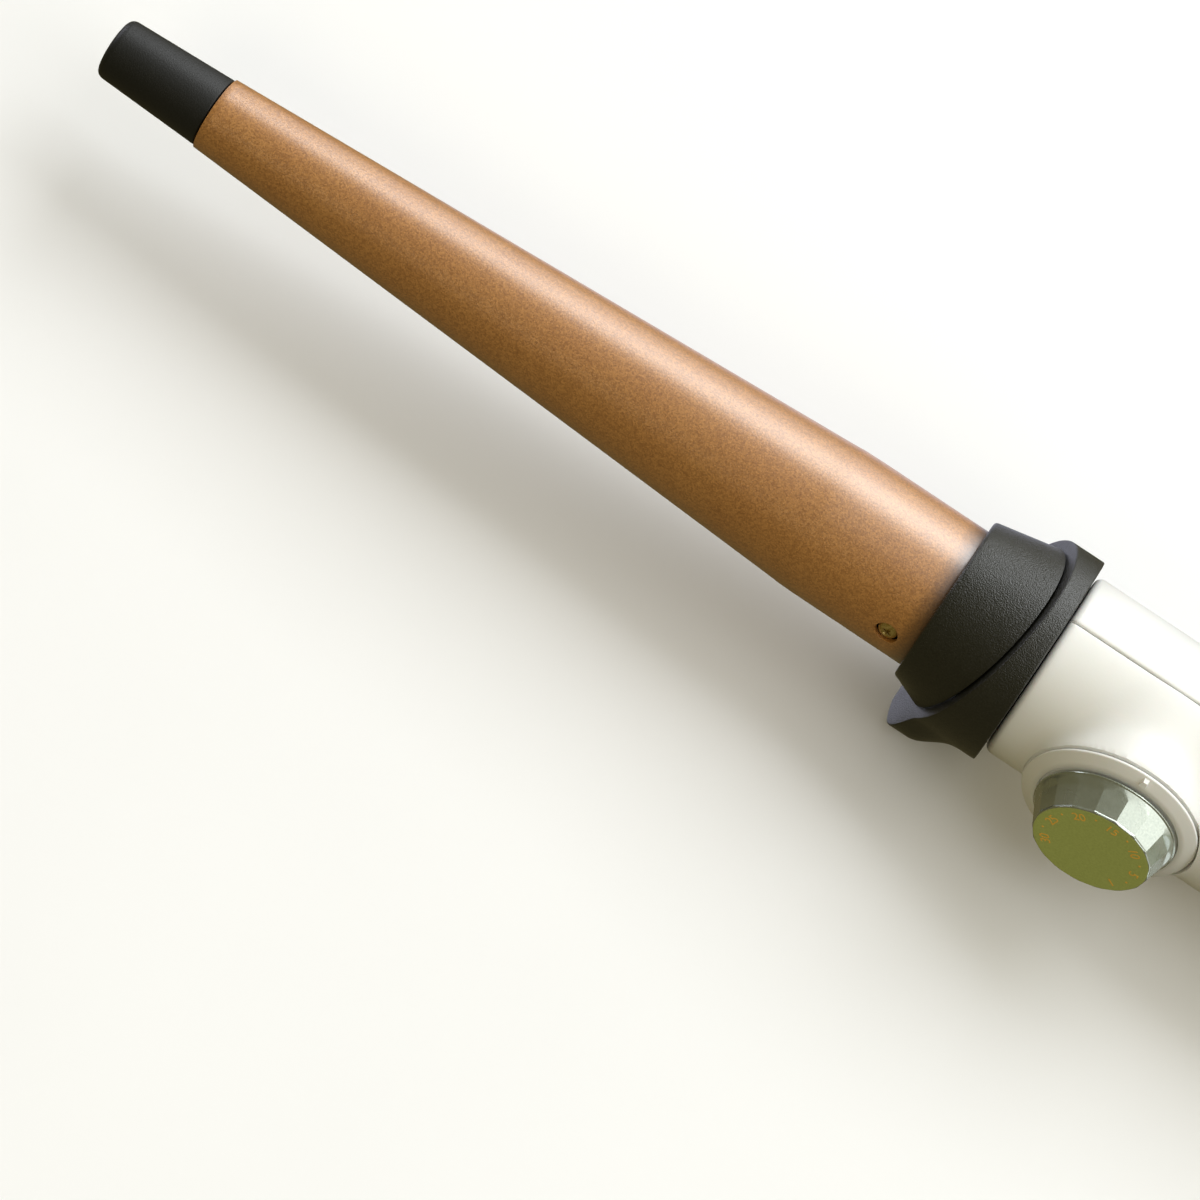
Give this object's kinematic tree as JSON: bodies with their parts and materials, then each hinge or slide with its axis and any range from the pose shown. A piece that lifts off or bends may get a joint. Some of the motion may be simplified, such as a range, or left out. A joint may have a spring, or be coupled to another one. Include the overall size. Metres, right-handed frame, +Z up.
{
  "type": "curling wand",
  "caption": "Clampless curling wand: tapered copper barrel with black cool tip, slanted guard with a foot, white handle with a turning dial.",
  "frame": {"origin": "middle of the flat underside of the guard's foot", "axes": "+X along the barrel's axis towards the handle and cord outlet, +Z up from the foot, dial on the -Y side"},
  "size_m": [0.3453, 0.0442, 0.0403],
  "materials": {
    "tip_plastic": "fine-grained black moulded plastic",
    "copper_coat": "satin copper-coloured ceramic coat on aluminium",
    "guard_plastic": "fine-grained black moulded plastic",
    "white_plastic": "white satin moulded ABS",
    "olive_plastic": "olive lacquered plastic, semi-gloss",
    "screw_brass": "yellow zinc-plated screw",
    "screw_steel": "zinc-plated steel",
    "aluminium": "extruded aluminium, plain",
    "ceramic": "unglazed heat-proof ceramic",
    "film": "amber polyimide film",
    "contact_brass": "stamped brass",
    "black_part": "black heat-proof moulding",
    "red_wire": "red silicone insulation",
    "white_wire": "white silicone insulation",
    "board": "green glass-fibre circuit board",
    "soft_black": "soft black rubber",
    "lamp": "red translucent lamp plastic"
  },
  "bodies": {
    "wand": {"cool_tip": "tip_plastic", "tip_insulator": "ceramic", "barrel": "copper_coat", "barrel_screw_1": "screw_brass", "barrel_screw_2": "screw_brass", "barrel_socket": "black_part", "heat_spreader_upper": "aluminium", "heat_spreader_lower": "aluminium", "ptc_heater": "ceramic", "heater_electrode_upper": "contact_brass", "heater_electrode_lower": "contact_brass", "heater_film_sleeve": "film", "thermistor": "ceramic", "thermal_fuse": "screw_steel", "lead_live_hot": "red_wire", "lead_live": "red_wire", "lead_neutral": "white_wire", "lead_sensor": "white_wire", "collar": "guard_plastic", "guard": "guard_plastic", "handle_dial_side": "white_plastic", "handle_plain_side": "white_plastic", "handle_screw_1": "screw_steel", "handle_screw_2": "screw_steel", "handle_screw_3": "screw_steel", "heel_pad": "soft_black", "rear_cap": "white_plastic", "swivel_retainer": "white_plastic", "dial_bezel": "white_plastic", "potentiometer": "screw_steel", "circuit_board": "board", "terminal_block": "black_part", "triac": "black_part", "capacitor": "black_part", "power_switch": "black_part", "indicator_led": "lamp", "indicator_lens": "lamp"},
    "dial": {"dial_knob": "olive_plastic", "potentiometer_shaft": "screw_steel"},
    "power_key": {"power_button": "olive_plastic", "switch_plunger": "black_part"},
    "cord_swivel": {"swivel_gland": "soft_black", "swivel_contact_ring": "contact_brass"}
  },
  "joints": [
    {"name": "dial_turn", "type": "hinge", "parent": "wand", "child": "dial", "pos_m": [0.03612, -0.02189, 0.02303], "axis": [0.0698, -0.9951, 0.0696], "range_deg": [-126, 126]},
    {"name": "power_button_press", "type": "slide", "parent": "wand", "child": "power_key", "axis": [0, 0.9976, -0.0698], "range_m": [0, 0.001], "stiffness_N_per_m": 500, "springref_m": -0.001},
    {"name": "cord_swivel_turn", "type": "hinge", "parent": "wand", "child": "cord_swivel", "pos_m": [0.166, 0, 0.0215], "axis": [1, 0, 0], "continuous": true}
  ]
}
